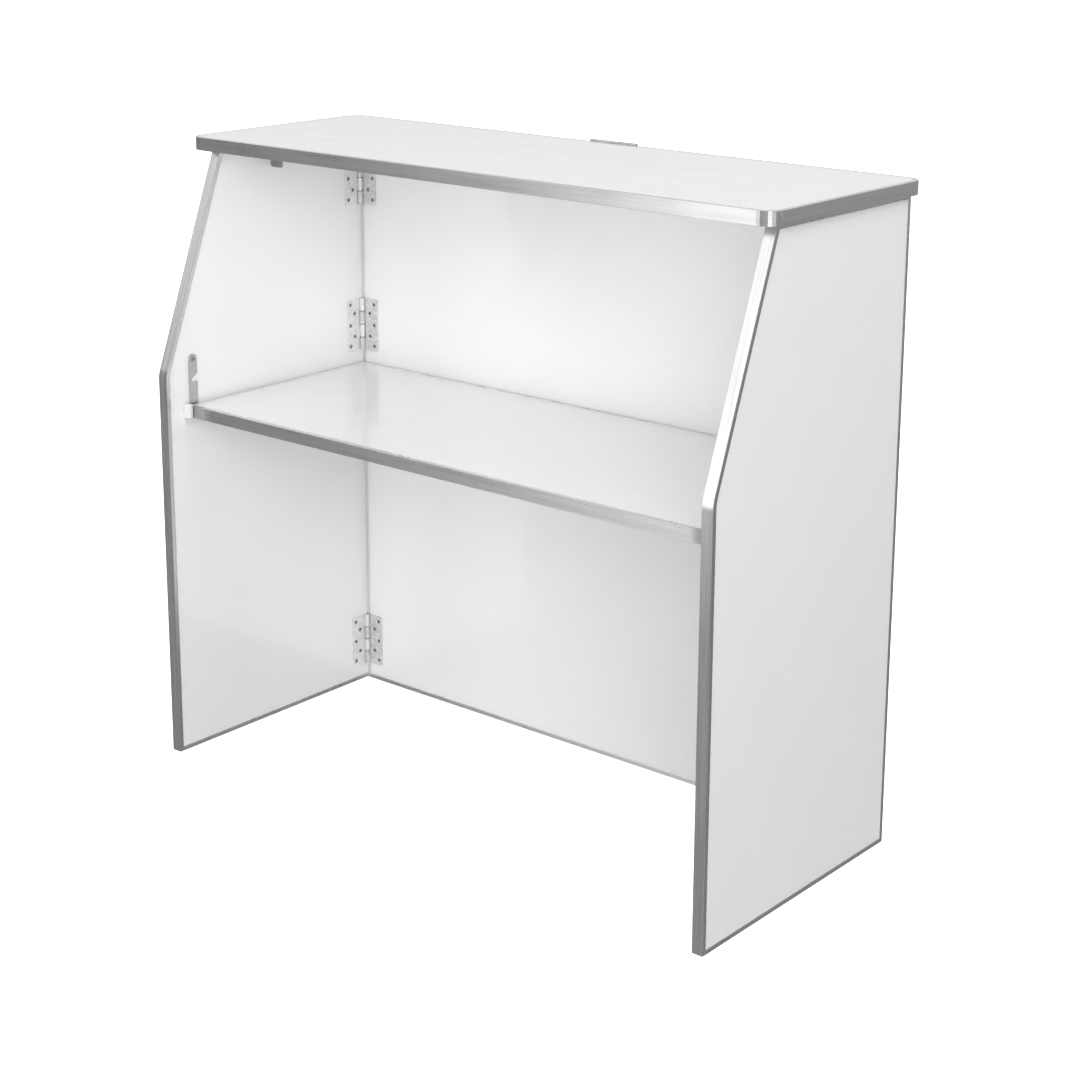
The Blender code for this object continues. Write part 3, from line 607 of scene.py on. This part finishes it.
# %% [markdown]
# ## Rounded arrises
#
# No real edge is perfectly sharp. The channel is drawn with corners of half a millimetre, and that thin
# round is what shows as a bright line along the lips. The CAD mesh stays as it is: a Weld modifier joins
# the split vertices that the file format made, and a Bevel modifier rounds only the edges that turn
# sharply. A gap of 0.3 mm between neighbours stays open, because a bevel only takes material away.

# %% Bevel the CAD nodes
def round_edges(name, width, segments=2):
    """Round the sharp edges of a CAD node with modifiers."""
    piece = nodes[name]
    weld = piece.modifiers.new("join_split_points", "WELD")
    weld.merge_threshold = 0.000005
    bevel = piece.modifiers.new("round_edges", "BEVEL")
    bevel.width = width
    bevel.segments = segments
    bevel.limit_method = "ANGLE"
    bevel.angle_limit = math.radians(40.0)
    bevel.use_clamp_overlap = True
    bevel.harden_normals = False


for name in nodes:
    if "_trim" in name or name == "shelf_rail":
        round_edges(name, 0.0004)
    elif name.startswith("hinge_") and name.endswith("_leaf"):
        round_edges(name, 0.00045)
    elif "_leaf" in name or "tab" in name or "bracket" in name or "stay" in name:
        round_edges(name, 0.0002, 1)
    elif "rest" in name:
        round_edges(name, 0.0005)
print("edges rounded on", sum(bool(node.modifiers) for node in nodes.values()), "nodes")

# %% [markdown]
# ## Screws
#
# Every leaf is fixed with countersunk wood screws with a cross recess, and the rail, the rests and the
# tabs with small pan-head screws. A screw is drawn as a profile turned about its axis. Its top is a flat
# ring with a cross left open, whose walls drop to a smaller cross below. The screws of one leaf are one
# piece, and each is turned to another angle, as they end up when they are driven by hand.

# %% A screw with a cross recess
def cross_outline(arm, width):
    """The twelve corners of a cross, anticlockwise."""
    quarter = [(arm, -width), (arm, width), (width, width)]
    points = []
    for k in range(4):
        turn = Matrix.Rotation(k * math.pi / 2, 2)
        points += [turn @ Vector(point) for point in quarter]
    return points


def screw_mesh(name, profile, segments=20):
    """A screw about local Z, pointing out of the board; profile runs from the flat top's rim downwards."""
    top = profile[0][1]
    arm = profile[1][0] * 0.62
    width = arm * 0.34
    floor_share = 0.6
    depth = arm * 0.75
    bm = bmesh.new()
    rings = []
    for radius, height in profile:
        ring = []
        for k in range(segments):
            angle = 2 * math.pi * k / segments
            ring.append(bm.verts.new((radius * math.cos(angle), radius * math.sin(angle), height)))
        rings.append(ring)
    for upper, lower in zip(rings, rings[1:]):
        for k in range(segments):
            j = (k + 1) % segments
            bm.faces.new((upper[k], lower[k], lower[j], upper[j]))
    bm.faces.new(list(reversed(rings[-1])))
    cross = cross_outline(arm, width)
    mouth = [bm.verts.new((p.x, p.y, top)) for p in cross]
    floor = [bm.verts.new((p.x * floor_share, p.y * floor_share, top - depth)) for p in cross]
    recess = [bm.faces.new(floor)]
    for k in range(12):
        j = (k + 1) % 12
        recess.append(bm.faces.new((mouth[k], mouth[j], floor[j], floor[k])))
    # The recess faces take material 1, a darker zinc that is painted shade inside the recess.
    for face in recess:
        face.material_index = 1
    rim_edges = [bm.edges.get((rings[0][k], rings[0][(k + 1) % segments])) for k in range(segments)]
    mouth_edges = [bm.edges.get((mouth[k], mouth[(k + 1) % 12])) for k in range(12)]
    bmesh.ops.triangle_fill(bm, use_beauty=True, edges=rim_edges + mouth_edges)
    bmesh.ops.recalc_face_normals(bm, faces=bm.faces)
    mesh = bpy.data.meshes.new(name)
    bm.to_mesh(mesh)
    bm.free()
    return mesh


def flat_head(name, radius, hole, sheet):
    """A countersunk screw that sits just under the face of a sheet."""
    low = 0.00012
    return screw_mesh(name, [
        (radius - 0.00035, -low), (radius - 0.00015, -low - 0.0001), (hole - 0.0001, -sheet),
        (hole - 0.0002, -sheet - 0.006), (hole * 0.4, -sheet - 0.0085),
    ])


def pan_head(name, radius, height):
    """A low domed screw that stands on a face."""
    return screw_mesh(name, [
        (radius * 0.66, height), (radius * 0.90, height * 0.80), (radius, height * 0.42), (radius, 0.00002),
        (radius * 0.5, 0.00002), (radius * 0.48, -0.006), (radius * 0.2, -0.008),
    ])


def screws(name, pattern, places, outward, body):
    """One piece with a screw at each place, pointing outward, that rides on a body."""
    bm = bmesh.new()
    stand = Vector((0, 0, 1)).rotation_difference(Vector(outward)).to_matrix().to_4x4()
    middle = sum(places, Vector()) / len(places)
    for k, place in enumerate(places):
        driven = Matrix.Rotation(2.4 * k + 0.7 * place.x + 9.0 * place.z, 4, "Z")
        copy = pattern.copy()
        copy.transform(Matrix.Translation(place - middle) @ stand @ driven)
        bm.from_mesh(copy)
        bpy.data.meshes.remove(copy)
    mesh = bpy.data.meshes.new(name)
    bm.to_mesh(mesh)
    bm.free()
    mesh.shade_smooth()
    mesh.set_sharp_from_angle(angle=math.radians(35.0))
    mesh.materials.append(screw_zinc)
    mesh.materials.append(recess_shade_zinc)
    piece = bpy.data.objects.new(name, mesh)
    piece.location = middle
    bpy.context.scene.collection.objects.link(piece)
    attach(piece, body)
    return piece


print("a flat head and a pan head are ready to be placed")

# %% [markdown]
# A corner leaf has five holes in a zigzag: three in the outer row and two nearer the barrel. Their places
# are shares of the leaf's own length and width, measured from the barrel's axis, so they are read off the
# node's box and not typed twice.

# %% Screws in the corner hinges
hinge_screw = flat_head("hinge_screw", 0.0043, 0.0024, 0.0019)
leaf_face = 0.0030
hinge_holes = [(0.78, -0.40), (0.78, 0.0), (0.78, 0.40), (0.47, -0.22), (0.47, 0.22)]
placed = 0
for side, sign in (("left", -1.0), ("right", 1.0)):
    for level in ("low", "middle", "high"):
        pin_low, pin_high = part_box(f"hinge_{side}_{level}_pin")
        axis = (pin_low + pin_high) / 2
        front_places = []
        side_places = []
        for across, up in hinge_holes:
            height = axis.z + HINGE_LENGTH * up
            reach = LEAF_WIDTH * across
            front_places.append(Vector((axis.x - sign * reach, axis.y + leaf_face, height)))
            side_places.append(Vector((axis.x + sign * leaf_face, axis.y - reach, height)))
        label = f"hinge_{side}_{level}"
        screws(label + "_front_screws", hinge_screw, front_places, (0, -1, 0), "front_panel")
        screws(label + "_side_screws", hinge_screw, side_places, (-sign, 0, 0), side + "_side")
        placed += 10
print("screws in the corner hinges:", placed)

# %% Screws in the worktop hinge, the rail, the rests and the tabs
small_screw = flat_head("small_screw", 0.0034, 0.0019, 0.0011)
button = pan_head("button_screw", 0.0029, 0.0016)

lid_pin_low, lid_pin_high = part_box("worktop_hinge_pin")
lid_axis = (lid_pin_low + lid_pin_high) / 2
rows = [-0.036, 0.0, 0.036]
lid_leaf_face = 0.0014
lid_leaf_middle = 0.01288
lid_bracket_face = 0.0124
lid_bracket_middle = 0.04185
screws(
    "worktop_hinge_leaf_screws", small_screw,
    [Vector((row, lid_axis.y - lid_leaf_face, lid_axis.z - lid_leaf_middle)) for row in rows],
    (0, 1, 0), "worktop",
)
screws(
    "worktop_hinge_bracket_screws", small_screw,
    [Vector((row, lid_axis.y - lid_bracket_face, lid_axis.z - lid_bracket_middle)) for row in rows],
    (0, 1, 0), "front_panel",
)

rail_low, rail_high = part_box("shelf_rail")
rail_sheet = 0.002
rail_face = rail_high.y - rail_sheet
rail_screw_height = rail_low.z + 0.008
screws(
    "shelf_rail_screws", button,
    [Vector((x, rail_face, rail_screw_height)) for x in (-0.46, -0.23, 0.0, 0.23, 0.46)],
    (0, -1, 0), "front_panel",
)
rest_plate = 0.0035
tab_sheet = 0.0025
tab_screw_setback = 0.0195
for side, sign in (("left", -1.0), ("right", 1.0)):
    rest_low, rest_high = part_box("shelf_rest_" + side)
    wall = rest_low.x if sign < 0 else rest_high.x
    face = wall - sign * rest_plate
    screws(
        f"shelf_rest_{side}_screws", button,
        [Vector((face, rest_low.y + along, rest_low.z + 0.0034)) for along in (0.040, 0.054)],
        (-sign, 0, 0), side + "_side",
    )
    tab_low, tab_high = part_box("worktop_tab_" + side)
    middle_x = (tab_low.x + tab_high.x) / 2
    screws(
        f"worktop_tab_{side}_screws", button,
        [
            Vector((middle_x + shift, tab_low.y + tab_screw_setback, tab_high.z - tab_sheet))
            for shift in (-0.008, 0.008)
        ],
        (0, 0, -1), "worktop",
    )
print("screws in the worktop hinge 6, the rail 5, the rests 4, the tabs 4")

# %% [markdown]
# ## Pivot screws
#
# Each stay turns on a domed screw. The solid has a plain dome of the same size, so here a screw with a
# cross recess takes its place at the same height over the stay.

# %% The two pivot screws
pivot_screw = pan_head("pivot_screw", 0.0048, 0.0017)
for side, sign in (("left", -1.0), ("right", 1.0)):
    stay_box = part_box("shelf_stay_" + side)
    head_low, head_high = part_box("stay_screw_" + side)
    seat = (stay_box[1].x if sign < 0 else stay_box[0].x) - sign * 0.0003
    centre = (head_low + head_high) / 2
    places = [Vector((seat, centre.y, centre.z))]
    screw = screws("pivot_screw_" + side, pivot_screw, places, (-sign, 0, 0), side + "_side")
    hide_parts("stay_screw_" + side)
    print("pivot screw", side, "stands at", [round(v, 4) for v in screw.location])

# %% [markdown]
# ## Studio
#
# The photograph shows the counter on pure white with hardly a shadow: a white sweep in a room with large
# soft sources. The metal tells where they were, because each strip mirrors another part of the room. The
# right half of the worktop's edge is white and the left half grey: from the camera, the right half mirrors
# a window in front of the counter, and the left half a dark gap beside it. The bent corner runs from grey
# through white to grey, so there is a bright panel beside the camera. The ends and the upright strips are
# a dull grey, as the floor and the room are. The dome below is built from such patches: turn is the
# direction round the counter, in radians from straight in front, and z is the height above the horizon.
# Each patch is a product of soft steps. glow is a soft patch above the gap, and bounce is light from low
# down in front, as a floor throws it up.
#
# The boards need more light than the metal may mirror, so five softboxes light them and are hidden from
# mirror rays. The strengths started from a least-squares fit to tones of the photograph, and were then
# trimmed, so this studio is fitted to the photograph's own view. The guests' side gets little of
# it and looks grey. The white sweep is a floor with a far round wall, and only the camera sees it.

# %% Floor, dome and softboxes
floor_mesh = bpy.data.meshes.new("studio_floor")
bm = bmesh.new()
wall_radius = 55.0
wall_height = 70.0
lifted = Matrix.Translation((0.0, 0.0, wall_height / 2))
bmesh.ops.create_grid(bm, x_segments=1, y_segments=1, size=60.0)
bmesh.ops.create_cone(
    bm, segments=48, radius1=wall_radius, radius2=wall_radius, depth=wall_height, matrix=lifted
)
bm.to_mesh(floor_mesh)
bm.free()
floor_piece = bpy.data.objects.new("studio_floor", floor_mesh)
floor_piece.location = (0.0, 0.0, -0.0006)
bpy.context.scene.collection.objects.link(floor_piece)
floor_white, shader, place = start_finish("studio_white", (0.9, 0.9, 0.9), 0.9, 0.0)
shader.inputs["Emission Color"].default_value = (1.0, 1.0, 1.0, 1.0)
shader.inputs["Emission Strength"].default_value = 1.0
floor_mesh.materials.append(floor_white)
floor_piece.visible_glossy = False
floor_piece.visible_diffuse = False
floor_piece.visible_shadow = False

dome = bpy.data.worlds.new("studio_dome")
dome.use_nodes = True
bpy.context.scene.world = dome
background = dome.node_tree.nodes["Background"]
source = dome.node_tree.nodes.new("ShaderNodeTexCoord")
toward = Wire(dome.node_tree, source.outputs["Generated"])
x, y, z = parts(toward)
turn = x.sum_node("ARCTAN2", x * -1.0, y * -1.0)
low = 1.0 - smooth_step(z, -0.30, -0.04)
overhead = smooth_step(z, 0.40, 0.80)
middle = 1.0 - low - overhead
behind = smooth_step(y, -0.15, 0.15)
level = low * 0.25 + middle * 0.42 + overhead * (behind * 1.00 + 0.06)

window_sides = smooth_step(turn, 0.30, 0.48) * (1.0 - smooth_step(turn, 0.60, 0.72))
window = window_sides * smooth_step(z, -0.34, -0.13) * (1.0 - smooth_step(z, 0.60, 0.80))
gap_sides = smooth_step(turn, 0.60, 0.72) * (1.0 - smooth_step(turn, 2.00, 2.40))
glow_sides = smooth_step(turn, 0.62, 0.80) * (1.0 - smooth_step(turn, 1.50, 2.20))
glow = glow_sides * smooth_step(z, 0.10, 0.36) * (1.0 - overhead)
bounce_sides = smooth_step(turn, -0.95, -0.70) * (1.0 - smooth_step(turn, 0.30, 0.60))
bounce = bounce_sides * (1.0 - smooth_step(z, -0.55, -0.35))

panel_sides = smooth_step(turn, -1.25, -1.08) * (1.0 - smooth_step(turn, -0.60, -0.46))
panel = panel_sides * smooth_step(z, -0.22, -0.05) * (1.0 - smooth_step(z, 0.50, 0.75))
backdrop = smooth_step(y * 0.77 - x * 0.64, 0.70, 0.88) * middle

brightness = (
    level + window * 1.95 + bounce * 0.60 + glow * 0.84 + panel * 2.25 + backdrop * 0.34
    - gap_sides * middle * (1.0 - backdrop) * 0.25
)
plug(dome.node_tree, brightness, background.inputs["Strength"])
background.inputs["Color"].default_value = (1.0, 1.0, 1.0, 1.0)


def softbox(name, place, target, size, power):
    """A square soft light that faces a target."""
    light = bpy.data.lights.new(name, "AREA")
    light.shape = "SQUARE"
    light.size = size
    light.energy = power
    lamp = bpy.data.objects.new(name, light)
    bpy.context.scene.collection.objects.link(lamp)
    aim = (Vector(target) - Vector(place)).to_track_quat("-Z", "Y")
    lamp.matrix_world = Matrix.Translation(place) @ aim.to_matrix().to_4x4()
    lamp.visible_glossy = False
    return lamp


softbox("softbox_by_camera", (3.25, -3.0, 1.85), (0.1, -0.1, 0.7), 2.6, 61.0)
softbox("softbox_front", (-0.3, -3.3, 0.95), (-0.2, 0.2, 0.9), 1.4, 17.0)
softbox("softbox_high_right", (2.9, 0.0, 3.5), (0.2, 0.0, 0.7), 2.0, 27.0)
softbox("softbox_overhead", (0.0, -1.4, 3.6), (0.0, 0.0, 0.9), 2.4, 27.0)
softbox("softbox_high_front", (-0.4, -3.2, 3.2), (0.0, 0.0, 0.7), 2.2, 7.5)
bpy.context.scene.view_settings.view_transform = "Standard"
print("studio: a white sweep, a dome with its window, glow, bounce, panel and backdrop, and five softboxes")
